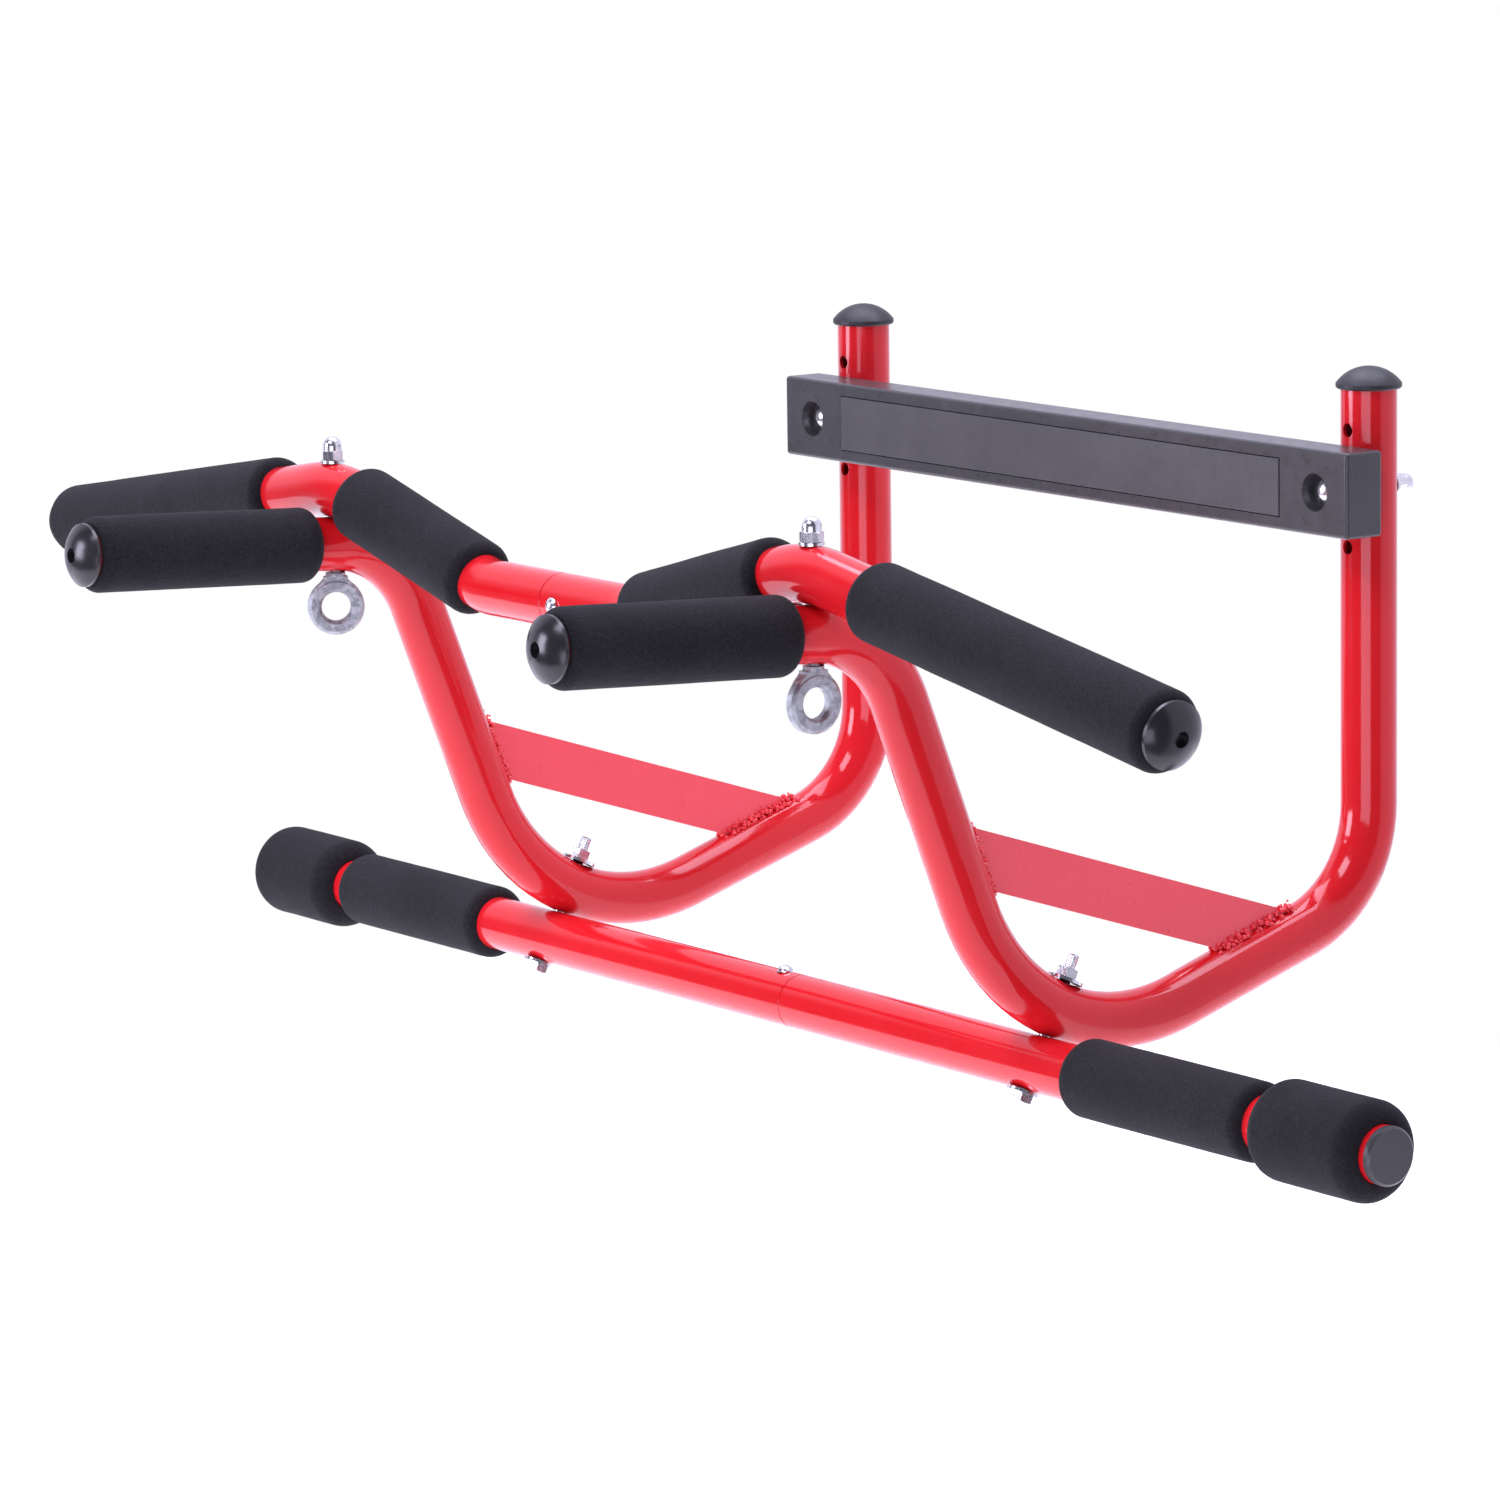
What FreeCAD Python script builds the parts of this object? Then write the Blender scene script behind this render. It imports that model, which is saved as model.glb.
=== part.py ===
import FreeCAD, Part
import math
import os

# Doorway pull up bar.  Units are millimetres, +Z is up, +X runs along the bars.
# The origin is the centre of the pad face that bears on the wall; the user stands on the -Y side.

V = FreeCAD.Vector
X_AXIS = V(1, 0, 0)
Y_AXIS = V(0, 1, 0)
Z_AXIS = V(0, 0, 1)

# tube stock
tube_radius = 14.0
tube_wall = 1.8
bore_radius = tube_radius - tube_wall
crossing_gap = 0.02       # between two tubes that cross and are bolted together

# side tubes, drawn in their own upright plane as (y, z)
side_x = 210.0
handle_end = (-451.0, -33.2)
top_corner = (-267.8, -42.4)
bottom_corner = (-179.2, -273.3)
rear_corner = (35.5, -203.5)
upright_top = (35.5, 49.0)
top_bend = 58.0
bottom_bend = 104.0
rear_bend = 62.0

# gusset flat bars
gusset_width = 27.0
gusset_thickness = 4.0
gusset_front = (-212.5, -156.7)
gusset_rear = (-44.5, -211.7)
gusset_front_overrun = 12.0    # the flat bar is cut long, then trimmed by the tube
gusset_rear_overrun = 70.0
weld_bead_radius = 3.0
weld_bead_pitch = 5.0

# lower bar
contact_angle = 26.0      # tilt of the lower bolts, top towards the wall
lower_half_length = 470.0
lower_seam_x = 17.0
lower_screw_x = 4.0
sleeve_half_length = 45.0
seam_depth = 0.6
seam_half_width = 0.9
sleeve_wall = 1.5

# upper bar, drawn in an upright plane as (x, z)
bolt_y = -304.0
crest_bend = 100.0
centre_bend = 50.0
inner_slope = 14.8
outer_slope = 9.4
centre_half_flat = 64.5
upper_end_x = 475.0
upper_screw_x = 12.0

# foam grips
foam_radius = 19.6
foam_edge = 4.0
bumper_radius = 24.4
bumper_edge = 8.0
lower_grip_inner_x = 255.0
lower_grip_outer_x = 389.0
bumper_inner_x = 399.0
bumper_outer_x = 472.0
lower_foam_shift = -5.0   # the four lower pieces sit this far towards the left end
upper_inner_grip_near_x = 72.5
upper_inner_grip_far_x = 184.0
upper_outer_grip_near_x = 259.0
upper_outer_grip_far_x = 474.6
handle_grip_front_y = -450.0
handle_grip_rear_y = -320.0

# plastic caps
cap_radius = 16.0
cap_rim = 2.6
cap_edge = 0.8
cap_height = 9.2
cap_dimple_radius = 3.8
cap_dimple_depth = 4.0
cap_stem_length = 16.0
upright_cap_radius = 16.4
upright_cap_height = 11.0
plug_radius = 14.0
plug_thickness = 3.6
plug_chamfer = 1.2
plug_stem_length = 14.0

# wall block
block_half_width = 234.5
block_half_height = 21.3
block_thickness = 23.0
block_edge = 2.0
pad_half_width = 183.0
pad_half_height = 14.3
pad_depth = 2.5
pad_proud = 0.5
pad_gap = 0.5
pad_edge = 0.4
recess_radius = 9.5
recess_depth = 7.5
hole_pitch = 29.0

# fixings: 6 mm bolts throughout
bolt_radius = 3.0
hole_radius = 3.05
spare_hole_radius = 3.5
drill_length = 60.0       # long enough to pass right through a tube
fit_gap = 0.01            # round a tube that another piece is shaped to
seat_gap = 0.05           # under a washer or nut
nut_flats = 10.0
nut_height = 5.0
corner_trim_angle = 30.0
dome_radius = 4.75
dome_height = 7.0
acorn_reach = 8.0
small_washer_radius = 6.2
small_washer_thickness = 1.4
large_washer_radius = 9.0
large_washer_thickness = 1.6
pan_head_radius = 6.7
pan_head_height = 4.0
pan_head_rim = 1.2
block_thread = 14.0
hex_head_height = 4.2
lower_thread = 24.0
lower_nut_turn = 15.0
stud_above_nut = 7.0
thread_pitch = 1.0
thread_depth = 0.4
joint_screw_radius = 2.4
joint_hole_gap = 0.05
joint_head_radius = 4.2
joint_head_height = 3.0
joint_head_rim = 0.6
joint_head_lift = 0.15    # the head seats on the round of the tube
joint_screw_reach = 2.0   # past the inside of the sleeve

# eye bolts
eye_outer_radius = 14.6
eye_hole_radius = 7.6
eye_thickness = 7.0
eye_edge = 1.6
eye_neck_width = 12.4
eye_neck_thickness = 6.2
eye_neck_foot_width = 20.0
eye_neck_foot = 10.0      # heights above the ring centre
eye_neck_waist = 14.2
eye_collar_radius = 5.1
eye_collar_height = 2.0
eye_centre_drop = 17.6    # ring centre below the top of the collar
eye_seat_gap = 0.9        # collar below the underside of the bent tube
eye_thread = 16.0
left_eye_turn = -28.0
right_eye_turn = 0.0


def unit(point_a, point_b):
    length = math.hypot(point_b[0] - point_a[0], point_b[1] - point_a[1])
    return ((point_b[0] - point_a[0]) / length, (point_b[1] - point_a[1]) / length)


def rounded_path(corners, radii):
    """Lines and arcs, as (start, middle, end) or (start, end), through a list of flat corners."""
    pieces = []
    start = corners[0]
    for index in range(1, len(corners) - 1):
        corner = corners[index]
        radius = radii[index - 1]
        into = unit(corners[index - 1], corner)
        away = unit(corner, corners[index + 1])
        turn = math.acos(into[0] * away[0] + into[1] * away[1])
        reach = radius * math.tan(turn / 2)
        arc_start = (corner[0] - into[0] * reach, corner[1] - into[1] * reach)
        arc_end = (corner[0] + away[0] * reach, corner[1] + away[1] * reach)
        inward = unit(into, away)
        inward_depth = radius / math.cos(turn / 2) - radius
        arc_middle = (corner[0] + inward[0] * inward_depth, corner[1] + inward[1] * inward_depth)
        pieces.append((start, arc_start))
        pieces.append((arc_start, arc_middle, arc_end))
        start = arc_end
    pieces.append((start, corners[-1]))
    return pieces


def path_wire(pieces, place):
    """Wire through the pieces; place turns a flat point into a space point."""
    edges = []
    for piece in pieces:
        points = [place(point) for point in piece]
        if len(points) == 2:
            edges.append(Part.LineSegment(points[0], points[1]).toShape())
        else:
            edges.append(Part.Arc(points[0], points[1], points[2]).toShape())
    return Part.Wire(edges)


def sweep(wire, radius):
    """Round solid swept along a wire."""
    first = wire.Edges[0]
    start = first.valueAt(first.FirstParameter)
    along = first.tangentAt(first.FirstParameter)
    ring = Part.Wire([Part.Circle(start, along, radius).toShape()])
    return wire.makePipeShell([ring], True, False)


def rod(base, direction, radius, length):
    return Part.makeCylinder(radius, length, base, direction)


def drill(middle, direction, radius):
    """Tool for a hole right through a tube, centred on its axis."""
    return rod(middle - direction * (drill_length / 2), direction, radius, drill_length)


def ring_part(base, direction, outer, inner, length):
    return rod(base, direction, outer, length).cut(rod(base, direction, inner, length))


def group(solids):
    return Part.makeCompound(solids)


def save(name, shape):
    shape.exportStep("parts/" + name + ".step")


def turned(profile, base, direction):
    """Solid turned from (radius, height) points and arcs, stood on base along direction."""
    edges = []
    for piece in profile:
        points = [V(radius, 0, height) for radius, height in piece]
        if len(points) == 2:
            edges.append(Part.LineSegment(points[0], points[1]).toShape())
        else:
            edges.append(Part.Arc(points[0], points[1], points[2]).toShape())
    face = Part.Face(Part.Wire(edges))
    solid = face.revolve(V(0, 0, 0), Z_AXIS, 360)
    turn = FreeCAD.Rotation(Z_AXIS, direction)
    solid.Placement = FreeCAD.Placement(base, turn)
    return solid


def dome_arc(radius, base, crown):
    """Arc of a round dome from its rim to its crown on the axis."""
    height = crown - base
    ball = (radius ** 2 + height ** 2) / (2 * height)
    half_angle = math.asin(min(1.0, radius / ball)) / 2
    middle = (ball * math.sin(half_angle), crown - ball + ball * math.cos(half_angle))
    return [(radius, base), middle, (0, crown)]


def side_place(x):
    return lambda point: V(x, point[0], point[1])


side_pieces = rounded_path([handle_end, top_corner, bottom_corner, rear_corner, upright_top],
                           [top_bend, bottom_bend, rear_bend])


def side_solid(x, radius):
    return sweep(path_wire(side_pieces, side_place(x)), radius)


def bottom_bend_centre():
    into = unit(top_corner, bottom_corner)
    away = unit(bottom_corner, rear_corner)
    turn = math.acos(into[0] * away[0] + into[1] * away[1])
    inward = unit(into, away)
    reach = bottom_bend / math.cos(turn / 2)
    return (bottom_corner[0] + inward[0] * reach, bottom_corner[1] + inward[1] * reach)


def handle_height(y):
    slope = (top_corner[1] - handle_end[1]) / (top_corner[0] - handle_end[0])
    return handle_end[1] + slope * (y - handle_end[0])


# lower bar axis: just under the bottom bend
bend_centre = bottom_bend_centre()
tilt = math.radians(contact_angle)
lower_bolt_direction = V(0, math.sin(tilt), math.cos(tilt))
axis_gap = 2 * tube_radius + crossing_gap
lower_y = bend_centre[0] - math.sin(tilt) * (bottom_bend + axis_gap)
lower_z = bend_centre[1] - math.cos(tilt) * (bottom_bend + axis_gap)

# upper bar: its crest sits on the handle tube at the eye bolt
crest_z = handle_height(bolt_y) + axis_gap


def upper_corners():
    inner = math.radians(inner_slope)
    outer = math.radians(outer_slope)
    reach = crest_bend * math.tan((inner + outer) / 2)
    crest_x = side_x - crest_bend * math.sin(inner) + reach * math.cos(inner)
    crest_corner_z = crest_z - crest_bend * (1 - math.cos(inner)) + reach * math.sin(inner)
    centre_z = crest_corner_z - (crest_x - centre_half_flat) * math.tan(inner)
    end_z = crest_corner_z - (upper_end_x - crest_x) * math.tan(outer)
    return (centre_half_flat, centre_z), (crest_x, crest_corner_z), (upper_end_x, end_z)


def upper_wire(side):
    centre, crest, end = upper_corners()
    pieces = rounded_path([(0.0, centre[1]), centre, crest, end], [centre_bend, crest_bend])
    return path_wire(pieces, lambda point: V(side * point[0], bolt_y, point[1]))


def lower_point(x):
    return V(x, lower_y, lower_z)


def side_of(name):
    return -1 if name == "left" else 1


def eye_seat_z():
    return handle_height(bolt_y) - tube_radius - eye_seat_gap


def make_side_tube(name):
    x = side_of(name) * side_x
    tube = side_solid(x, tube_radius).cut(side_solid(x, bore_radius))
    tube = tube.cut(drill(V(x, bolt_y, handle_height(bolt_y)), Z_AXIS, hole_radius))
    lower_hole = lower_point(x) + lower_bolt_direction * axis_gap
    tube = tube.cut(drill(lower_hole, lower_bolt_direction, hole_radius))
    tube = tube.cut(drill(V(x, upright_top[0], 0), Y_AXIS, hole_radius))
    for height in (-hole_pitch, hole_pitch):
        tube = tube.cut(drill(V(x, upright_top[0], height), Y_AXIS, spare_hole_radius))
    save(name + "_side_tube", tube)


def gusset_outline():
    along = unit(gusset_front, gusset_rear)
    up = (-along[1], along[0])
    half = gusset_width / 2
    front = (gusset_front[0] - along[0] * gusset_front_overrun,
             gusset_front[1] - along[1] * gusset_front_overrun)
    rear = (gusset_rear[0] + along[0] * gusset_rear_overrun,
            gusset_rear[1] + along[1] * gusset_rear_overrun)
    return [(front[0] + up[0] * half, front[1] + up[1] * half),
            (rear[0] + up[0] * half, rear[1] + up[1] * half),
            (rear[0] - up[0] * half, rear[1] - up[1] * half),
            (front[0] - up[0] * half, front[1] - up[1] * half)]


def make_gusset(name):
    x = side_of(name) * side_x
    corners = [V(x - gusset_thickness / 2, y, z) for y, z in gusset_outline()]
    plate = Part.Face(Part.makePolygon(corners + corners[:1])).extrude(V(gusset_thickness, 0, 0))
    tube = side_solid(x, tube_radius + fit_gap)
    pieces = plate.cut(tube).Solids
    middle = V(x, (gusset_front[0] + gusset_rear[0]) / 2, (gusset_front[1] + gusset_rear[1]) / 2)
    bar = min(pieces, key=lambda solid: solid.CenterOfMass.distanceToPoint(middle))
    save(name + "_gusset_bar", bar)
    make_welds(name, x, bar)


def make_welds(name, x, bar):
    """Chains of beads on both faces of the flat bar, where it meets the tube at each end."""
    solids = []
    tube = side_solid(x, tube_radius + fit_gap)
    for start, end in weld_lines(bar):
        length = math.hypot(end[0] - start[0], end[1] - start[1])
        count = int(length / weld_bead_pitch)
        for face_side in (-1, 1):
            face_x = x + face_side * gusset_thickness / 2
            chain = []
            for index in range(count + 1):
                share = index / count
                y = start[0] + (end[0] - start[0]) * share
                z = start[1] + (end[1] - start[1]) * share
                chain.append(Part.makeSphere(weld_bead_radius, V(face_x, y, z)))
            run = chain[0].multiFuse(chain[1:])
            solids.extend(run.common(outer_half(x, face_side)).cut(tube).cut(bar).Solids)
    save(name + "_gusset_welds", group(solids))


def outer_half(x, face_side):
    """Room on one side of the middle plane of a side tube."""
    span = 2 * tube_radius
    start = x if face_side > 0 else x - span
    long = 3 * side_x
    return Part.makeBox(span, long, long, V(start, -long + side_x, -long + side_x))


def weld_lines(bar):
    """Start and end, as (y, z), of the two runs where the flat bar meets the tube."""
    outline = [(vertex.Y, vertex.Z) for vertex in bar.Vertexes]
    along = unit(gusset_front, gusset_rear)
    up = (-along[1], along[0])

    def reach(point):
        return point[0] * along[0] + point[1] * along[1]

    def height(point):
        return point[0] * up[0] + point[1] * up[1]

    middle_height = height(gusset_front)
    upper = sorted((p for p in outline if height(p) > middle_height), key=reach)
    lower = sorted((p for p in outline if height(p) < middle_height), key=reach)
    return [(upper[0], lower[0]), (upper[-1], lower[-1])]


def seam_groove(point):
    """Small V groove round a bar, cut half from each side of the seam."""
    outside = tube_radius + seam_depth
    profile = [[(tube_radius - seam_depth, 0), (outside, seam_half_width)],
               [(outside, seam_half_width), (outside, -seam_half_width)],
               [(outside, -seam_half_width), (tube_radius - seam_depth, 0)]]
    return turned(profile, point, X_AXIS)


def make_lower_bar():
    tools = []
    for side in (-1, 1):
        tools.append(drill(lower_point(side * side_x), lower_bolt_direction, hole_radius))
    screw_hole = joint_screw_hole(lower_point(lower_screw_x), Z_AXIS)
    spans = {"lower_bar_left": (-lower_half_length, lower_seam_x),
             "lower_bar_right": (lower_seam_x, lower_half_length)}
    for name, (start, end) in spans.items():
        bar = ring_part(lower_point(start), X_AXIS, tube_radius, bore_radius, end - start)
        for tool in tools:
            bar = bar.cut(tool)
        save(name, bar.cut(screw_hole).cut(seam_groove(lower_point(lower_seam_x))))
    start = lower_point(lower_seam_x - sleeve_half_length)
    sleeve = ring_part(start, X_AXIS, bore_radius, bore_radius - sleeve_wall, 2 * sleeve_half_length)
    save("lower_bar_sleeve", sleeve.cut(screw_hole))
    save("lower_bar_joint_screw", joint_screw(lower_point(lower_screw_x), Z_AXIS))


def joint_screw_hole(axis_point, direction):
    return rod(axis_point, direction, joint_screw_radius + joint_hole_gap, drill_length / 2)


def joint_screw(axis_point, direction):
    """Domed screw standing on a tube: shank through the wall and sleeve, head outside."""
    seat = tube_radius + joint_head_lift
    rim = seat + joint_head_rim
    inner = bore_radius - sleeve_wall - joint_screw_reach
    crown = seat + joint_head_height
    head_profile = [[(0, inner), (joint_screw_radius, inner)],
                    [(joint_screw_radius, inner), (joint_screw_radius, seat)],
                    [(joint_screw_radius, seat), (joint_head_radius, seat)],
                    [(joint_head_radius, seat), (joint_head_radius, rim)],
                    dome_arc(joint_head_radius, rim, crown),
                    [(0, crown), (0, inner)]]
    return turned(head_profile, axis_point, direction)


def make_upper_bar():
    centre = upper_corners()[0]
    screw_direction = V(0, -1, 0)
    screw_point = V(upper_screw_x, bolt_y, centre[1])
    screw_hole = joint_screw_hole(screw_point, screw_direction)
    for name in ("left", "right"):
        side = side_of(name)
        wire = upper_wire(side)
        bar = sweep(wire, tube_radius).cut(sweep(wire, bore_radius))
        bar = bar.cut(drill(V(side * side_x, bolt_y, crest_z), Z_AXIS, hole_radius))
        groove = seam_groove(V(0, bolt_y, centre[1]))
        save("upper_bar_" + name, bar.cut(screw_hole).cut(groove))
    start = V(-sleeve_half_length, bolt_y, centre[1])
    sleeve = ring_part(start, X_AXIS, bore_radius, bore_radius - sleeve_wall, 2 * sleeve_half_length)
    save("upper_bar_sleeve", sleeve.cut(screw_hole))
    save("upper_bar_joint_screw", joint_screw(screw_point, screw_direction))


def foam(start, end, outer, edge):
    """Foam tube between two points with soft rounded ends."""
    length = start.distanceToPoint(end)
    bend = edge * (1 - math.sqrt(0.5))
    profile = [[(tube_radius, 0), (outer - edge, 0)],
               [(outer - edge, 0), (outer - bend, bend), (outer, edge)],
               [(outer, edge), (outer, length - edge)],
               [(outer, length - edge), (outer - bend, length - bend), (outer - edge, length)],
               [(outer - edge, length), (tube_radius, length)],
               [(tube_radius, length), (tube_radius, 0)]]
    return turned(profile, start, (end - start).normalize())


def upper_line_point(side, x, outer):
    """Point of the straight part of the upper bar at a distance x from the middle."""
    crest = upper_corners()[1]
    if outer:
        z = crest[1] - (x - crest[0]) * math.tan(math.radians(outer_slope))
    else:
        z = crest[1] - (crest[0] - x) * math.tan(math.radians(inner_slope))
    return V(side * x, bolt_y, z)


def make_grips():
    for name in ("left", "right"):
        side = side_of(name)
        save("lower_grip_" + name, lower_foam(side, lower_grip_inner_x, lower_grip_outer_x,
                                              foam_radius, foam_edge))
        save("bumper_" + name, lower_foam(side, bumper_inner_x, bumper_outer_x,
                                          bumper_radius, bumper_edge))
        save("upper_inner_grip_" + name, foam(upper_line_point(side, upper_inner_grip_near_x, False),
                                              upper_line_point(side, upper_inner_grip_far_x, False),
                                              foam_radius, foam_edge))
        save("upper_outer_grip_" + name, foam(upper_line_point(side, upper_outer_grip_near_x, True),
                                              upper_line_point(side, upper_outer_grip_far_x, True),
                                              foam_radius, foam_edge))
        front = V(side * side_x, handle_grip_front_y, handle_height(handle_grip_front_y))
        rear = V(side * side_x, handle_grip_rear_y, handle_height(handle_grip_rear_y))
        save("handle_grip_" + name, foam(front, rear, foam_radius, foam_edge))


def lower_foam(side, inner_x, outer_x, radius, edge):
    start = lower_point(side * inner_x + lower_foam_shift)
    end = lower_point(side * outer_x + lower_foam_shift)
    return foam(start, end, radius, edge)


def domed_cap(seat, outward, radius, height, dimple):
    """Plastic cap: stem inside the tube, rim on the tube end, domed face outward."""
    stem = bore_radius
    shoulder = radius - cap_edge
    profile = [[(0, -cap_stem_length), (stem, -cap_stem_length)],
               [(stem, -cap_stem_length), (stem, 0)],
               [(stem, 0), (shoulder, 0)],
               [(shoulder, 0), (radius, cap_edge)],
               [(radius, cap_edge), (radius, cap_rim)],
               dome_arc(radius, cap_rim, height),
               [(0, height), (0, -cap_stem_length)]]
    cap = turned(profile, seat, outward)
    if dimple:
        floor = seat + outward * (height - cap_dimple_depth)
        cap = cap.cut(rod(floor, outward, cap_dimple_radius, height))
    return cap


def make_caps():
    for name in ("left", "right"):
        side = side_of(name)
        x = side * side_x
        outward = unit(top_corner, handle_end)
        save("handle_cap_" + name, domed_cap(V(x, handle_end[0], handle_end[1]),
                                             V(0, outward[0], outward[1]),
                                             cap_radius, cap_height, True))
        end = upper_corners()[2]
        slope = math.radians(outer_slope)
        direction = V(side * math.cos(slope), 0, -math.sin(slope))
        save("upper_cap_" + name, domed_cap(V(side * end[0], bolt_y, end[1]), direction,
                                            cap_radius, cap_height, True))
        save("upright_cap_" + name, domed_cap(V(x, upright_top[0], upright_top[1]), Z_AXIS,
                                              upright_cap_radius, upright_cap_height, False))
        save("lower_plug_" + name, end_plug(side))


def end_plug(side):
    flat = plug_radius - plug_chamfer
    top = plug_thickness
    profile = [[(0, -plug_stem_length), (bore_radius, -plug_stem_length)],
               [(bore_radius, -plug_stem_length), (bore_radius, 0)],
               [(bore_radius, 0), (plug_radius, 0)],
               [(plug_radius, 0), (plug_radius, top - plug_chamfer)],
               [(plug_radius, top - plug_chamfer), (flat, top)],
               [(flat, top), (0, top)],
               [(0, top), (0, -plug_stem_length)]]
    return turned(profile, lower_point(side * lower_half_length), V(side, 0, 0))


def make_block():
    front = pad_proud
    block = Part.makeBox(2 * block_half_width, block_thickness, 2 * block_half_height,
                         V(-block_half_width, front, -block_half_height))
    block = block.makeFillet(block_edge, block.Edges)
    pocket_width = pad_half_width + pad_gap
    pocket_height = pad_half_height + pad_gap
    pocket = Part.makeBox(2 * pocket_width, pad_depth, 2 * pocket_height,
                          V(-pocket_width, front, -pocket_height))
    block = block.cut(pocket)
    for side in (-1, 1):
        x = side * side_x
        block = block.cut(rod(V(x, front, 0), Y_AXIS, recess_radius, recess_depth))
        block = block.cut(rod(V(x, front, 0), Y_AXIS, hole_radius, block_thickness))
        block = block.cut(drill(V(x, upright_top[0], 0), Z_AXIS, tube_radius + fit_gap))
    save("wall_block", block)
    pad = Part.makeBox(2 * pad_half_width, pad_proud + pad_depth, 2 * pad_half_height,
                       V(-pad_half_width, 0, -pad_half_height))
    front_edges = [edge for edge in pad.Edges if edge.CenterOfMass.y < pad_edge]
    save("wall_pad", pad.makeFillet(pad_edge, front_edges))


def threaded_rod(base, direction, length, thread_length):
    """Plain shank with grooves cut round the far end to stand for the thread."""
    radius = bolt_radius
    root = radius - thread_depth
    profile = [[(0, 0), (radius, 0)]]
    height = length - thread_length
    profile.append([(radius, 0), (radius, height)])
    while height + thread_pitch < length - thread_pitch / 2:
        middle = height + thread_pitch / 2
        profile.append([(radius, height), (root, middle)])
        profile.append([(root, middle), (radius, height + thread_pitch)])
        height += thread_pitch
    profile.append([(radius, height), (root, length)])
    profile.append([(root, length), (0, length)])
    profile.append([(0, length), (0, 0)])
    return turned(profile, base, direction)


def hexagon(base, direction, flats, height, turn):
    """Hexagon prism with its corners trimmed by a cone at both ends."""
    corner = flats / math.sqrt(3)
    points = []
    for index in range(6):
        angle = math.radians(60 * index + turn)
        points.append(V(corner * math.cos(angle), corner * math.sin(angle), 0))
    prism = Part.Face(Part.makePolygon(points + points[:1])).extrude(V(0, 0, height))
    trim = corner - flats / 2
    drop = trim * math.tan(math.radians(corner_trim_angle))
    round_profile = [[(0, 0), (corner - trim, 0)],
                     [(corner - trim, 0), (corner, drop)],
                     [(corner, drop), (corner, height - drop)],
                     [(corner, height - drop), (corner - trim, height)],
                     [(corner - trim, height), (0, height)],
                     [(0, height), (0, 0)]]
    solid = prism.common(turned(round_profile, V(0, 0, 0), Z_AXIS))
    solid.Placement = FreeCAD.Placement(base, FreeCAD.Rotation(Z_AXIS, direction))
    return solid


def acorn_nut(base, direction):
    """Hexagon nut closed by a dome, with the bolt end inside it."""
    nut = hexagon(base, direction, nut_flats, nut_height, 0)
    crown = nut_height + dome_height
    dome_profile = [[(0, 0), (dome_radius, 0)],
                    [(dome_radius, 0), (dome_radius, crown - dome_radius)],
                    dome_arc(dome_radius, crown - dome_radius, crown),
                    [(0, crown), (0, 0)]]
    nut = nut.fuse(turned(dome_profile, base, direction))
    return nut.cut(rod(base, direction, bolt_radius, acorn_reach)).removeSplitter()


def small_washer(base, direction):
    return ring_part(base, direction, small_washer_radius, hole_radius, small_washer_thickness)


def large_washer(base, direction):
    return ring_part(base, direction, large_washer_radius, hole_radius, large_washer_thickness)


def pan_head(seat, direction):
    profile = [[(0, 0), (pan_head_radius, 0)],
               [(pan_head_radius, 0), (pan_head_radius, pan_head_rim)],
               dome_arc(pan_head_radius, pan_head_rim, pan_head_height),
               [(0, pan_head_height), (0, 0)]]
    return turned(profile, seat, direction)


def make_block_fixings():
    bolts = []
    washers = []
    nuts = []
    seat_y = pad_proud + recess_depth
    washer_y = upright_top[0] + tube_radius + seat_gap
    nut_y = washer_y + small_washer_thickness
    for side in (-1, 1):
        x = side * side_x
        seat = V(x, seat_y, 0)
        shank = threaded_rod(seat, Y_AXIS, nut_y + acorn_reach - seat_y, block_thread)
        bolts.append(pan_head(seat, V(0, -1, 0)).fuse(shank).removeSplitter())
        washers.append(small_washer(V(x, washer_y, 0), Y_AXIS))
        nuts.append(acorn_nut(V(x, nut_y, 0), Y_AXIS))
    save("block_bolts", group(bolts))
    save("block_washers", group(washers))
    save("block_nuts", group(nuts))


def make_lower_fixings():
    """Bolts up through the lower bar and the bottom bend, with a flat washer at each end."""
    bolts = []
    nuts = []
    nut_washers = []
    head_washers = []
    up = lower_bolt_direction
    hollow = bottom_bend - tube_radius
    washer_lift = hollow - math.sqrt(hollow ** 2 - large_washer_radius ** 2) + seat_gap
    nut_washer_height = axis_gap + tube_radius + washer_lift
    nut_bottom = nut_washer_height + large_washer_thickness
    head_washer_height = -(tube_radius + seat_gap + large_washer_thickness)
    for side in (-1, 1):
        axis = lower_point(side * side_x)
        nut_washers.append(large_washer(axis + up * nut_washer_height, up))
        head_washers.append(large_washer(axis + up * head_washer_height, up))
        nut = hexagon(axis + up * nut_bottom, up, nut_flats, nut_height, lower_nut_turn)
        nuts.append(nut.cut(rod(axis + up * nut_bottom, up, bolt_radius, nut_height)))
        seat = axis + up * head_washer_height
        head = hexagon(seat - up * hex_head_height, up, nut_flats, hex_head_height, lower_nut_turn)
        length = nut_bottom - head_washer_height + nut_height + stud_above_nut
        shank = threaded_rod(seat, up, length, lower_thread)
        bolts.append(head.fuse(shank).removeSplitter())
    save("lower_bar_bolts", group(bolts))
    save("lower_bar_nuts", group(nuts))
    save("lower_bar_nut_washers", group(nut_washers))
    save("lower_bar_head_washers", group(head_washers))


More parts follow.
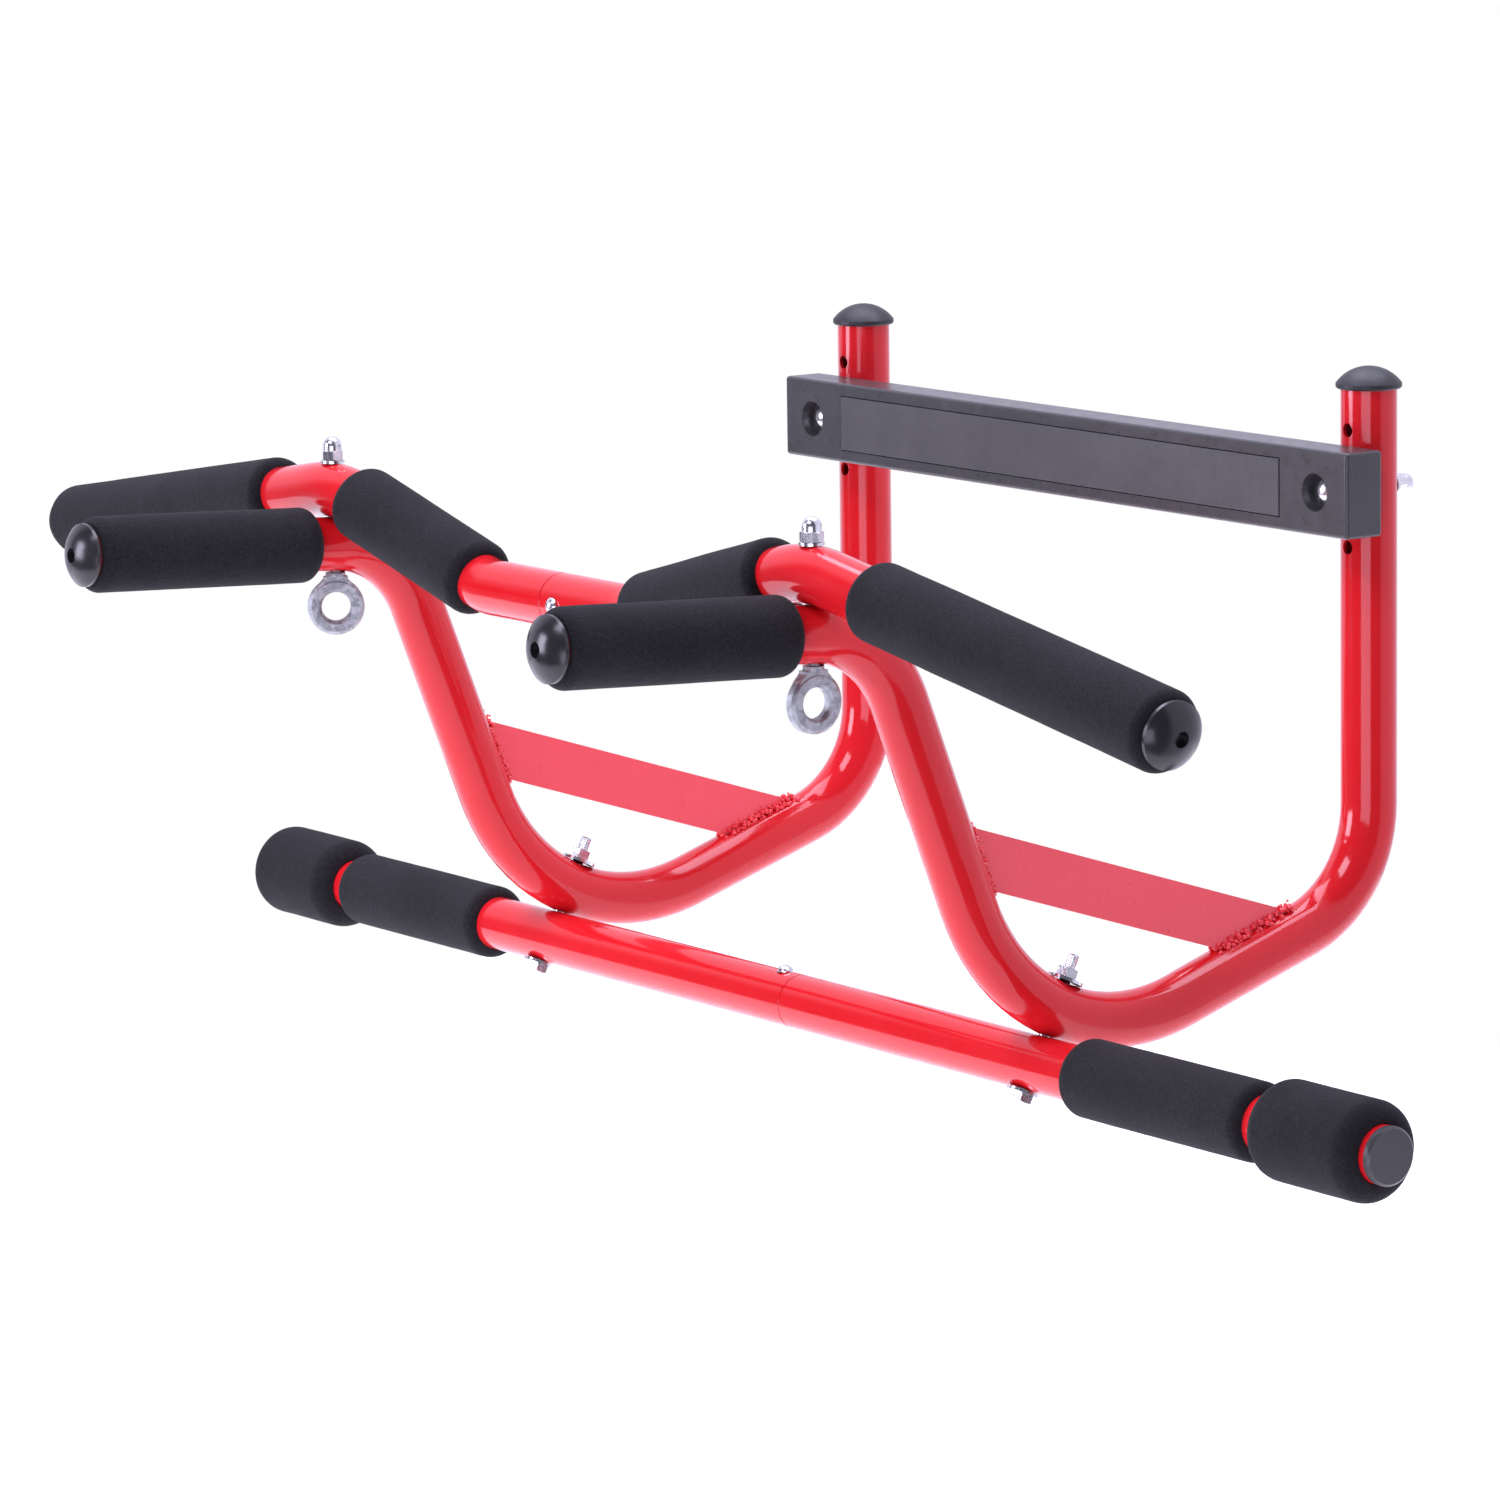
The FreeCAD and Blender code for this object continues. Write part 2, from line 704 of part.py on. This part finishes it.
def eye_ring(centre):
    half = eye_thickness / 2
    inner = eye_hole_radius
    outer = eye_outer_radius
    flat = half - eye_edge
    profile = [[(inner, -flat), (inner, flat)],
               [(inner, flat), (inner + eye_edge, half)],
               [(inner + eye_edge, half), (outer - eye_edge, half)],
               [(outer - eye_edge, half), (outer, flat)],
               [(outer, flat), (outer, -flat)],
               [(outer, -flat), (outer - eye_edge, -half)],
               [(outer - eye_edge, -half), (inner + eye_edge, -half)],
               [(inner + eye_edge, -half), (inner, -flat)]]
    return turned(profile, centre, X_AXIS)


def eye_neck(centre):
    """Flat neck that spreads into the ring at its foot."""
    foot = eye_neck_foot_width / 2
    waist = eye_neck_width / 2
    top = eye_centre_drop - eye_collar_height
    outline = [(-foot, eye_neck_foot), (-waist, eye_neck_waist), (-waist, top),
               (waist, top), (waist, eye_neck_waist), (foot, eye_neck_foot)]
    start = centre - X_AXIS * (eye_neck_thickness / 2)
    corners = [start + V(0, y, z) for y, z in outline]
    face = Part.Face(Part.makePolygon(corners + corners[:1]))
    return face.extrude(X_AXIS * eye_neck_thickness)


def eye_bolt(x, turn_degrees, top_z):
    """Forged eye below a collar, with the shank standing upward."""
    seat = V(x, bolt_y, eye_seat_z())
    centre = seat - Z_AXIS * eye_centre_drop
    collar = rod(seat - Z_AXIS * eye_collar_height, Z_AXIS, eye_collar_radius, eye_collar_height)
    shank = threaded_rod(seat, Z_AXIS, top_z - seat.z, eye_thread)
    solid = eye_ring(centre).multiFuse([eye_neck(centre), collar, shank]).removeSplitter()
    solid.rotate(seat, Z_AXIS, turn_degrees)
    return solid


def make_eye_fixings():
    washers = []
    washer_base = crest_z + tube_radius + seat_gap
    nut_base = washer_base + small_washer_thickness + seat_gap
    for name, turn in (("left", left_eye_turn), ("right", right_eye_turn)):
        x = side_of(name) * side_x
        save(name + "_eye_bolt", eye_bolt(x, turn, nut_base + acorn_reach))
        nut = acorn_nut(V(x, bolt_y, nut_base), Z_AXIS)
        nut.rotate(V(x, bolt_y, 0), Z_AXIS, turn)
        save(name + "_eye_nut", nut)
        washers.append(small_washer(V(x, bolt_y, washer_base), Z_AXIS))
    save("eye_top_washers", group(washers))


os.makedirs("parts", exist_ok=True)
for tube_name in ("left", "right"):
    make_side_tube(tube_name)
    make_gusset(tube_name)
make_lower_bar()
make_upper_bar()
make_grips()
make_caps()
make_block()
make_block_fixings()
make_lower_fixings()
make_eye_fixings()
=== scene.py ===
import math
import random

import bmesh
import bpy
import numpy as np
from mathutils import Matrix, Vector, noise


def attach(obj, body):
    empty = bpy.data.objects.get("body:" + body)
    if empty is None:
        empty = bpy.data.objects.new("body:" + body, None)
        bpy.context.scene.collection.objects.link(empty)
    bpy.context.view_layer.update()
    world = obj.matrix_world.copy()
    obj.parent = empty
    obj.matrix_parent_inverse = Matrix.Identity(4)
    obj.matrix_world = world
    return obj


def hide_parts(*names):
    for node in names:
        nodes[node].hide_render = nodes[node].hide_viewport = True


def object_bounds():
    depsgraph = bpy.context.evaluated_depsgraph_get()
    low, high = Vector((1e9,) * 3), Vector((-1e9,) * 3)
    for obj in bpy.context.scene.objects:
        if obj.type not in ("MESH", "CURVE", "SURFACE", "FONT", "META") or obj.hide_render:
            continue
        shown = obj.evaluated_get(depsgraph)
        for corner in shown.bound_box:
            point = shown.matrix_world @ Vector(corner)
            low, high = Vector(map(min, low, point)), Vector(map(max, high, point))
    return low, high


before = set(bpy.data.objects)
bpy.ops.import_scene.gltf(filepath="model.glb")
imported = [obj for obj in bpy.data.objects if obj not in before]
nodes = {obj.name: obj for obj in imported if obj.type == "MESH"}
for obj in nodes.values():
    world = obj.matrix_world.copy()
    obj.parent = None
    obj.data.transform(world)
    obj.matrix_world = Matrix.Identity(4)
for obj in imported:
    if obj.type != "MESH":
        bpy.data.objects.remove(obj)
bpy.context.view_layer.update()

# camera, in metres and degrees; lens and sensor width in millimetres
CAMERA_PLACE = Vector((2.832, -2.197, 0.438))
CAMERA_AZIMUTH = 54.707
CAMERA_DOWN = 9.359
CAMERA_ROLL = -0.828
CAMERA_LENS = 168.0
CAMERA_SENSOR = 36.0

FOAM_AROUND = 120         # points round a foam grip
FOAM_STEP = 0.0025        # spacing of rings along a foam grip
FOAM_RIPPLE = 0.00022     # height of the uneven foam surface
FOAM_CLEARANCE = 0.00005  # gap between foam and tube
FOAM_WIDE_WAVES = 28.0    # scales of the slow and the fine unevenness
FOAM_FINE_WAVES = 160.0
CORNER_STEPS = 10         # rings round the soft corner of a foam grip
GRIP_CORNER = 0.0055      # radius of the soft corner, on a hand grip and on a bumper
BUMPER_CORNER = 0.0095
END_DISH = 0.0012         # depth of the dish in the end face round the tube
FLOOR_SIZE = 2.6
FLOOR_MIDDLE = (-0.5, -0.1)
FLOOR_GAP = 0.35          # the piece is held above a small bright table
FLOOR_GLOW = 0.35

WELD_RADIUS = 0.0013      # mean radius of a blob of weld
WELD_SWAY = 0.00035
WELD_SPATTER = 2          # stray droplets beside each run
WELD_LUMP = 0.22          # how uneven each blob is

# the camera sees plain white; the light itself is tinted, and dim on the side in front of the bars
DARK_SIDE = Vector((0.33, -0.94, 0.0))
DARK_SIDE_START = 0.06
DARK_SIDE_FULL = 0.26
WORLD_LIGHT = 0.95
WORLD_DARK = 0.13
STUDIO_TINT = (0.95, 0.93, 1.16)

CAD_SMOOTH_ANGLE = 35     # edges sharper than this stay sharp, in degrees
NEW_SMOOTH_ANGLE = 60

SIDES = ("left", "right")


# ---------------------------------------------------------------- materials

class Shader:
    """A material with its main shader and a few short ways to add nodes."""

    def __init__(self, name):
        self.material = bpy.data.materials.new(name)
        self.material.use_nodes = True
        self.tree = self.material.node_tree
        self.main = self.tree.nodes["Principled BSDF"]
        self.place = self.node("ShaderNodeTexCoord").outputs["Object"]

    def node(self, kind, **values):
        made = self.tree.nodes.new(kind)
        for key, value in values.items():
            setattr(made, key, value)
        return made

    def link(self, start, end):
        self.tree.links.new(start, end)

    def set(self, **values):
        for key, value in values.items():
            self.main.inputs[key.replace("_", " ")].default_value = value

    def noise(self, scale, detail=3.0, roughness=0.5, stretch=None):
        made = self.node("ShaderNodeTexNoise")
        made.inputs["Scale"].default_value = scale
        made.inputs["Detail"].default_value = detail
        made.inputs["Roughness"].default_value = roughness
        place = self.place
        if stretch:
            mapping = self.node("ShaderNodeMapping")
            mapping.inputs["Scale"].default_value = stretch
            self.link(place, mapping.inputs["Vector"])
            place = mapping.outputs["Vector"]
        self.link(place, made.inputs["Vector"])
        return made.outputs["Fac"]

    def cells(self, scale):
        made = self.node("ShaderNodeTexVoronoi")
        made.inputs["Scale"].default_value = scale
        self.link(self.place, made.inputs["Vector"])
        return made

    def spread(self, value, low, high, start=0.3, end=0.7):
        made = self.node("ShaderNodeMapRange")
        made.inputs["From Min"].default_value = start
        made.inputs["From Max"].default_value = end
        made.inputs["To Min"].default_value = low
        made.inputs["To Max"].default_value = high
        self.link(value, made.inputs["Value"])
        return made.outputs["Result"]

    def ramp(self, value, stops):
        made = self.node("ShaderNodeValToRGB")
        ramp = made.color_ramp
        while len(ramp.elements) < len(stops):
            ramp.elements.new(0.5)
        for element, (position, colour) in zip(ramp.elements, stops):
            element.position = position
            element.color = (*colour, 1.0)
        self.link(value, made.inputs["Fac"])
        return made.outputs["Color"]

    def bump(self, value, strength, distance, under=None):
        made = self.node("ShaderNodeBump")
        made.inputs["Strength"].default_value = strength
        made.inputs["Distance"].default_value = distance
        self.link(value, made.inputs["Height"])
        if under:
            self.link(under, made.inputs["Normal"])
        return made.outputs["Normal"]

    def finish(self, colour=None, rough=None, normal=None):
        if colour:
            self.link(colour, self.main.inputs["Base Color"])
        if rough:
            self.link(rough, self.main.inputs["Roughness"])
        if normal:
            self.link(normal, self.main.inputs["Normal"])
        return self.material


def red_enamel():
    """Thick glossy enamel: a faint orange peel and slow drifts in depth of colour."""
    shader = Shader("red_enamel")
    drift = shader.noise(9.0, 2.0)
    colour = shader.ramp(drift, [(0.3, (0.64, 0.010, 0.015)), (0.7, (0.70, 0.013, 0.020))])
    rough = shader.spread(shader.noise(60.0, 4.0), 0.10, 0.20)
    peel = shader.bump(shader.noise(260.0, 2.0, 0.4), 0.05, 0.0005)
    dust = shader.bump(shader.noise(2600.0, 2.0), 0.03, 0.0001, peel)
    shader.set(Specular_IOR_Level=0.2, Coat_Weight=0.6, Coat_Roughness=0.06, Coat_IOR=1.45)
    return shader.finish(colour, rough, dust)


def flat_enamel_painted_light():
    """The enamel on the flat bars, less glossy than on the tubes, with a paler base colour that is painted
    light: it paints in the bright reflection the flat faces catch.
    """
    shader = Shader("flat_enamel_painted_light")
    drift = shader.noise(14.0, 3.0)
    # painted light: this base is paler than the tube enamel to paint in the reflection that makes the flat
    # bars look lighter
    colour = shader.ramp(drift, [(0.3, (0.88, 0.048, 0.070)), (0.7, (0.94, 0.056, 0.080))])
    rough = shader.spread(shader.noise(90.0, 4.0), 0.26, 0.36)
    shader.set(Coat_Weight=0.6, Coat_Roughness=0.22)
    return shader.finish(colour, rough)


def weld_enamel_painted_light():
    """Enamel over the ripples of a weld, rougher than on the tubes, with a paler base colour that is
    painted light to lift the shade that falls on and between the blobs.
    """
    shader = Shader("weld_enamel_painted_light")
    lumps = shader.noise(420.0, 3.0)
    # painted light: this base is paler than the tube enamel, though the welds carry the same paint, to
    # offset the shade among the blobs
    colour = shader.ramp(lumps, [(0.35, (0.86, 0.030, 0.044)), (0.6, (0.92, 0.040, 0.056))])
    rough = shader.spread(lumps, 0.30, 0.42)
    normal = shader.bump(lumps, 0.1, 0.0005)
    shader.set(Coat_Weight=0.5, Coat_Roughness=0.2)
    return shader.finish(colour, rough, normal)


def black_foam():
    """Closed cell foam: fine open skin with slightly paler patches."""
    shader = Shader("black_foam")
    grain = shader.noise(620.0, 6.0, 0.75)
    pores = shader.cells(700.0).outputs["Distance"]
    patches = shader.noise(22.0, 3.0)
    colour = shader.ramp(patches, [(0.3, (0.0105, 0.0104, 0.0120)), (0.7, (0.0155, 0.0153, 0.0172))])
    mix = shader.node("ShaderNodeMix", data_type="RGBA", blend_type="MULTIPLY")
    mix.inputs["Factor"].default_value = 0.85
    shade = shader.ramp(grain, [(0.32, (0.40, 0.40, 0.41)), (0.64, (1.75, 1.75, 1.78))])
    shader.link(colour, mix.inputs["A"])
    shader.link(shade, mix.inputs["B"])
    rough = shader.spread(grain, 0.82, 0.97)
    skin = shader.bump(patches, 0.12, 0.002)
    cell_bump = shader.bump(pores, 0.25, 0.0004, skin)
    normal = shader.bump(grain, 0.6, 0.0009, cell_bump)
    shader.set(Sheen_Weight=0.05, Sheen_Roughness=0.5, Specular_IOR_Level=0.14)
    return shader.finish(mix.outputs["Result"], rough, normal)


def satin_plastic(name, dark, pale, rough_low, rough_high, grain_strength):
    """Moulded plastic with a fine sparked texture."""
    shader = Shader(name)
    cloud = shader.noise(30.0, 3.0)
    grain = shader.noise(2300.0, 3.0, 0.6)
    colour = shader.ramp(cloud, [(0.3, dark), (0.7, pale)])
    rough = shader.spread(shader.noise(140.0, 5.0), rough_low, rough_high)
    flow = shader.bump(cloud, 0.02, 0.001)
    normal = shader.bump(grain, grain_strength, 0.0003, flow)
    shader.set(Specular_IOR_Level=0.5)
    return shader.finish(colour, rough, normal)


def bright_zinc():
    """Bright plated steel with faint swirls and tiny scratches."""
    shader = Shader("bright_zinc")
    cloud = shader.noise(190.0, 3.0)
    scratches = shader.noise(900.0, 4.0, 0.7, (1.0, 1.0, 0.08))
    colour = shader.ramp(cloud, [(0.3, (0.62, 0.63, 0.66)), (0.7, (0.86, 0.86, 0.86))])
    rough = shader.spread(scratches, 0.13, 0.32)
    normal = shader.bump(scratches, 0.12, 0.0002)
    shader.set(Metallic=1.0)
    return shader.finish(colour, rough, normal)


def galvanised_steel():
    """Dipped zinc: dull, mottled and slightly pitted."""
    shader = Shader("galvanised_steel")
    spangle = shader.cells(420.0).outputs["Color"]
    spot = shader.node("ShaderNodeSeparateColor")
    shader.link(spangle, spot.inputs["Color"])
    pits = shader.noise(1100.0, 5.0, 0.7)
    cloud = shader.noise(260.0, 4.0)
    blend = shader.node("ShaderNodeMix", data_type="FLOAT")
    blend.inputs["Factor"].default_value = 0.55
    shader.link(spot.outputs["Red"], blend.inputs["A"])
    shader.link(cloud, blend.inputs["B"])
    mottle = blend.outputs["Result"]
    colour = shader.ramp(mottle, [(0.2, (0.24, 0.25, 0.27)), (0.75, (0.56, 0.57, 0.59))])
    rough = shader.spread(mottle, 0.44, 0.68, 0.2, 0.8)
    lumps = shader.bump(cloud, 0.3, 0.0006)
    normal = shader.bump(pits, 0.4, 0.0005, lumps)
    shader.set(Metallic=0.9)
    return shader.finish(colour, rough, normal)


def bare_steel():
    shader = Shader("bare_steel")
    draw = shader.noise(700.0, 4.0, 0.6, (0.05, 1.0, 1.0))
    colour = shader.ramp(draw, [(0.3, (0.38, 0.38, 0.39)), (0.7, (0.55, 0.55, 0.56))])
    shader.set(Metallic=1.0)
    return shader.finish(colour, shader.spread(draw, 0.3, 0.45), shader.bump(draw, 0.1, 0.0002))


def floor_paint():
    shader = Shader("floor_paint")
    cloud = shader.noise(3.0, 3.0)
    colour = shader.ramp(cloud, [(0.3, (0.955, 0.955, 0.955)), (0.7, (0.965, 0.965, 0.965))])
    shader.set(Emission_Color=(1.0, 1.0, 1.0, 1.0), Emission_Strength=FLOOR_GLOW)
    return shader.finish(colour, shader.spread(cloud, 0.75, 0.85))


# ---------------------------------------------------------------- helpers

def paint(material, *names):
    for name in names:
        mesh = nodes[name].data
        mesh.materials.clear()
        mesh.materials.append(material)


def smooth_by_angle(obj, degrees):
    """Smooth shading with sharp edges kept, without touching the mesh points."""
    mesh = obj.data
    mesh.polygons.foreach_set("use_smooth", [True] * len(mesh.polygons))
    mesh.set_sharp_from_angle(angle=math.radians(degrees))


def cad_points(name):
    mesh = nodes[name].data
    points = np.empty(len(mesh.vertices) * 3)
    mesh.vertices.foreach_get("co", points)
    return points.reshape(-1, 3)


def round_axis(name):
    """Start, end and radius of a round CAD node, measured from its own points."""
    points = cad_points(name)
    low, high = points.min(axis=0), points.max(axis=0)
    middle = (low + high) / 2
    along = np.linalg.svd(points - points.mean(axis=0), full_matrices=False)[2][0]
    reach = (points - middle) @ along
    off_axis = points - middle - np.outer(reach, along)
    radius = np.linalg.norm(off_axis, axis=1).max()
    return middle + along * reach.min(), middle + along * reach.max(), radius


def new_piece(name, points, faces, body, material):
    mesh = bpy.data.meshes.new(name)
    mesh.from_pydata([tuple(point) for point in points], [], faces)
    mesh.update()
    obj = bpy.data.objects.new(name, mesh)
    bpy.context.scene.collection.objects.link(obj)
    obj.data.materials.append(material)
    smooth_by_angle(obj, NEW_SMOOTH_ANGLE)
    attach(obj, body)
    return obj


def revolve(start, along, rings, around, wobble=None):
    """Closed skin of rings, each (distance along, radius), joined end to end like a tube wall."""
    along = Vector(along).normalized()
    side = along.orthogonal().normalized()
    other = along.cross(side)
    points = []
    for distance, radius in rings:
        for step in range(around):
            angle = 2 * math.pi * step / around
            out = side * math.cos(angle) + other * math.sin(angle)
            point = Vector(start) + along * distance + out * radius
            if wobble:
                point += out * wobble(point, radius)
            points.append(point)
    faces = []
    count = len(rings)
    for ring in range(count):
        following = (ring + 1) % count
        for step in range(around):
            turn = (step + 1) % around
            faces.append((ring * around + step, following * around + step,
                          following * around + turn, ring * around + turn))
    return points, faces


# ---------------------------------------------------------------- foam grips

def foam_rings(length, outer, inner, soft):
    """Rings of a foam grip: bore, dished end face, soft corner, outside, and back again."""
    end = [(END_DISH * 2.2, inner), (END_DISH * 0.6, inner + END_DISH * 0.4),
           (0.0, (inner + outer - soft) / 2)]
    for step in range(CORNER_STEPS + 1):
        angle = math.pi / 2 * step / CORNER_STEPS
        end.append((soft * (1 - math.cos(angle)), outer - soft * (1 - math.sin(angle))))
    span = length - 2 * soft
    count = max(4, int(span / FOAM_STEP))
    middle = [(soft + span * step / count, outer) for step in range(1, count)]
    far = [(length - distance, radius) for distance, radius in reversed(end)]
    return end + middle + far


def foam_grip(name, node, body, material, soft, tube_radius):
    start, end, radius = round_axis(node)
    length = float(np.linalg.norm(end - start))
    along = Vector(end - start).normalized()
    outer = radius - FOAM_RIPPLE
    shift = Vector((3.1, 7.7, 1.3)) * (len(name) + 1)

    def wobble(point, ring_radius):
        if ring_radius < tube_radius + 0.001:
            return 0.0
        wide = noise.noise(point * FOAM_WIDE_WAVES + shift)
        fine = noise.noise(point * FOAM_FINE_WAVES + shift)
        return FOAM_RIPPLE * (0.75 * wide + 0.25 * fine)

    rings = foam_rings(length, outer, tube_radius + FOAM_CLEARANCE, soft)
    points, faces = revolve(start, along, rings, FOAM_AROUND, wobble)
    piece = new_piece(name, points, faces, body, material)
    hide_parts(node)


# ---------------------------------------------------------------- welds

def mesh_islands(mesh):
    """Points of each separate shell of a mesh, as arrays."""
    parent = list(range(len(mesh.vertices)))

    def root(index):
        while parent[index] != index:
            parent[index] = parent[parent[index]]
            index = parent[index]
        return index

    for edge in mesh.edges:
        first, second = edge.vertices
        parent[root(first)] = root(second)
    shells = {}
    for vertex in mesh.vertices:
        shells.setdefault(root(vertex.index), []).append(vertex.co)
    return [np.array(points) for points in shells.values()]


def weld_run(points, chance):
    """Centres and radii of the blobs of one weld, laid along the CAD bead with some spatter."""
    middle = points.mean(axis=0)
    along = np.linalg.svd(points - middle, full_matrices=False)[2][0]
    reach = (points - middle) @ along
    blobs = []
    place = reach.min() + WELD_RADIUS
    while place < reach.max() - WELD_RADIUS / 2:
        sway = [chance.uniform(-WELD_SWAY, WELD_SWAY) for _ in range(3)]
        radius = WELD_RADIUS * chance.uniform(0.6, 1.2)
        blobs.append((middle + along * place + np.array(sway), radius))
        place += radius * chance.uniform(1.4, 5.0)
    for _ in range(WELD_SPATTER):
        spot = middle + along * chance.uniform(reach.min(), reach.max())
        lift = np.array([0.0, chance.uniform(-0.0015, 0.0015), chance.uniform(0.0, 0.002)])
        blobs.append((spot + lift, WELD_RADIUS * chance.uniform(0.25, 0.45)))
    return blobs


def weld_mesh(name, node, material):
    chance = random.Random(len(name))
    points = []
    faces = []
    for shell in mesh_islands(nodes[node].data):
        for centre, radius in weld_run(shell, chance):
            ball = bmesh.new()
            bmesh.ops.create_icosphere(ball, subdivisions=3, radius=radius)
            first = len(points)
            for vertex in ball.verts:
                lump = 1.0 + WELD_LUMP * noise.noise(vertex.co * 900.0 + Vector(centre) * 500.0)
                points.append(Vector(centre) + vertex.co * lump)
            faces.extend([first + vertex.index for vertex in face.verts] for face in ball.faces)
            ball.free()
    piece = new_piece(name, points, faces, "frame", material)
    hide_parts(node)


# ---------------------------------------------------------------- paint the frame

enamel = red_enamel()
welds = weld_enamel_painted_light()
flat = flat_enamel_painted_light()
foam = black_foam()
cap_plastic = satin_plastic("cap_plastic", (0.014, 0.014, 0.016), (0.020, 0.020, 0.022),
                            0.20, 0.28, 0.03)
upright_plastic = satin_plastic("upright_plastic", (0.014, 0.014, 0.018), (0.020, 0.020, 0.024),
                                0.42, 0.52, 0.05)
block_plastic = satin_plastic("block_plastic", (0.048, 0.048, 0.050), (0.060, 0.060, 0.062),
                              0.25, 0.34, 0.08)
pad_rubber = satin_plastic("pad_rubber", (0.050, 0.050, 0.052), (0.066, 0.066, 0.068),
                           0.45, 0.62, 0.30)
zinc = bright_zinc()
galvanised = galvanised_steel()
steel = bare_steel()

for side in SIDES:
    paint(enamel, side + "_side_tube", "lower_bar_" + side, "upper_bar_" + side)
    # the flat bars get the paler enamel, whose paleness is painted reflection
    paint(flat, side + "_gusset_bar")
    paint(cap_plastic, "upper_cap_" + side, "handle_cap_" + side)
    paint(block_plastic, "lower_plug_" + side)
    paint(upright_plastic, "upright_cap_" + side)
    paint(galvanised, side + "_eye_bolt")
    paint(zinc, side + "_eye_nut")
paint(block_plastic, "wall_block")
paint(pad_rubber, "wall_pad")
paint(zinc, "block_bolts", "block_washers", "block_nuts", "eye_top_washers", "lower_bar_bolts",
      "lower_bar_nuts", "lower_bar_nut_washers", "lower_bar_head_washers", "lower_bar_joint_screw",
      "upper_bar_joint_screw")
paint(steel, "lower_bar_sleeve", "upper_bar_sleeve")
for obj in nodes.values():
    smooth_by_angle(obj, CAD_SMOOTH_ANGLE)

tube_radius = (cad_points("lower_bar_left").max(axis=0) - cad_points("lower_bar_left").min(axis=0))[1] / 2

for side in SIDES:
    weld_mesh("weld_beads_" + side, side + "_gusset_welds", welds)
    for kind in ("lower_grip", "upper_inner_grip", "upper_outer_grip", "handle_grip"):
        node = kind + "_" + side
        foam_grip("foam_" + node, node, "frame", foam, GRIP_CORNER, tube_radius)
    node = "bumper_" + side
    foam_grip("foam_" + node, node, "frame", foam, BUMPER_CORNER, tube_radius)


# ---------------------------------------------------------------- stage, lights, camera

def add_floor():
    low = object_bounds()[0][2] - FLOOR_GAP
    half = FLOOR_SIZE / 2
    mesh = bpy.data.meshes.new("floor")
    x, y = FLOOR_MIDDLE
    corners = [(x - half, y - half, low), (x + half, y - half, low),
               (x + half, y + half, low), (x - half, y + half, low)]
    mesh.from_pydata(corners, [], [(0, 1, 2, 3)])
    floor = bpy.data.objects.new("floor", mesh)
    bpy.context.scene.collection.objects.link(floor)
    floor.data.materials.append(floor_paint())


def add_soft_light(name, place, target, size, power):
    light = bpy.data.lights.new(name, "AREA")
    light.shape = "RECTANGLE"
    light.size, light.size_y = size
    light.energy = power
    light.color = STUDIO_TINT
    obj = bpy.data.objects.new(name, light)
    obj.location = place
    obj.rotation_euler = (Vector(target) - Vector(place)).to_track_quat("-Z", "Y").to_euler()
    bpy.context.scene.collection.objects.link(obj)


def add_world():
    """Plain white to the camera, and tinted light with a dim front side for everything else."""
    world = bpy.data.worlds.new("studio")
    bpy.context.scene.world = world
    world.use_nodes = True
    tree = world.node_tree
    background = tree.nodes["Background"]

    place = tree.nodes.new("ShaderNodeTexCoord")
    facing = tree.nodes.new("ShaderNodeVectorMath")
    facing.operation = "DOT_PRODUCT"
    facing.inputs[1].default_value = DARK_SIDE.normalized()
    fade = tree.nodes.new("ShaderNodeMapRange")
    fade.interpolation_type = "SMOOTHSTEP"
    fade.inputs["From Min"].default_value = DARK_SIDE_START
    fade.inputs["From Max"].default_value = DARK_SIDE_FULL
    fade.inputs["To Min"].default_value = WORLD_LIGHT
    fade.inputs["To Max"].default_value = WORLD_DARK
    rays = tree.nodes.new("ShaderNodeLightPath")
    seen = tree.nodes.new("ShaderNodeMix")
    seen.inputs["B"].default_value = 1.0
    tree.links.new(place.outputs["Generated"], facing.inputs[0])
    tree.links.new(facing.outputs["Value"], fade.inputs["Value"])
    tree.links.new(rays.outputs["Is Camera Ray"], seen.inputs["Factor"])
    tree.links.new(fade.outputs["Result"], seen.inputs["A"])
    tree.links.new(seen.outputs["Result"], background.inputs["Strength"])
    colour = tree.nodes.new("ShaderNodeMix")
    colour.data_type = "RGBA"
    colour.inputs["A"].default_value = (*STUDIO_TINT, 1.0)
    colour.inputs["B"].default_value = (1.0, 1.0, 1.0, 1.0)
    tree.links.new(rays.outputs["Is Camera Ray"], colour.inputs["Factor"])
    tree.links.new(colour.outputs["Result"], background.inputs["Color"])


def add_camera():
    camera = bpy.data.cameras.new("camera")
    camera.lens = CAMERA_LENS
    camera.sensor_width = CAMERA_SENSOR
    camera.clip_end = 100.0
    obj = bpy.data.objects.new("camera", camera)
    azimuth = math.radians(CAMERA_AZIMUTH)
    down = math.radians(CAMERA_DOWN)
    roll = math.radians(CAMERA_ROLL)
    back = Vector((math.sin(azimuth) * math.cos(down), -math.cos(azimuth) * math.cos(down), math.sin(down)))
    right = Vector((math.cos(azimuth), math.sin(azimuth), 0.0))
    up = back.cross(right)
    turned_right = right * math.cos(roll) + up * math.sin(roll)
    turned_up = up * math.cos(roll) - right * math.sin(roll)
    turn = Matrix((turned_right, turned_up, back)).transposed().to_4x4()
    obj.matrix_world = Matrix.Translation(CAMERA_PLACE) @ turn
    bpy.context.scene.collection.objects.link(obj)
    bpy.context.scene.camera = obj


add_floor()
add_world()
add_soft_light("overhead", (-0.3, 0.2, 2.0), (0.0, -0.2, -0.1), (2.4, 1.4), 48.0)
add_soft_light("high_front", (0.5, -2.2, 2.3), (0.0, -0.2, -0.1), (1.6, 1.0), 40.0)
add_soft_light("left_front", (-1.25, -2.7, 0.35), (0.0, -0.2, -0.1), (1.0, 1.4), 44.0)
add_soft_light("low_right", (2.4, -2.9, -0.9), (0.0, -0.2, -0.1), (2.6, 1.8), 42.0)
add_camera()
bpy.context.scene.view_settings.view_transform = "Standard"
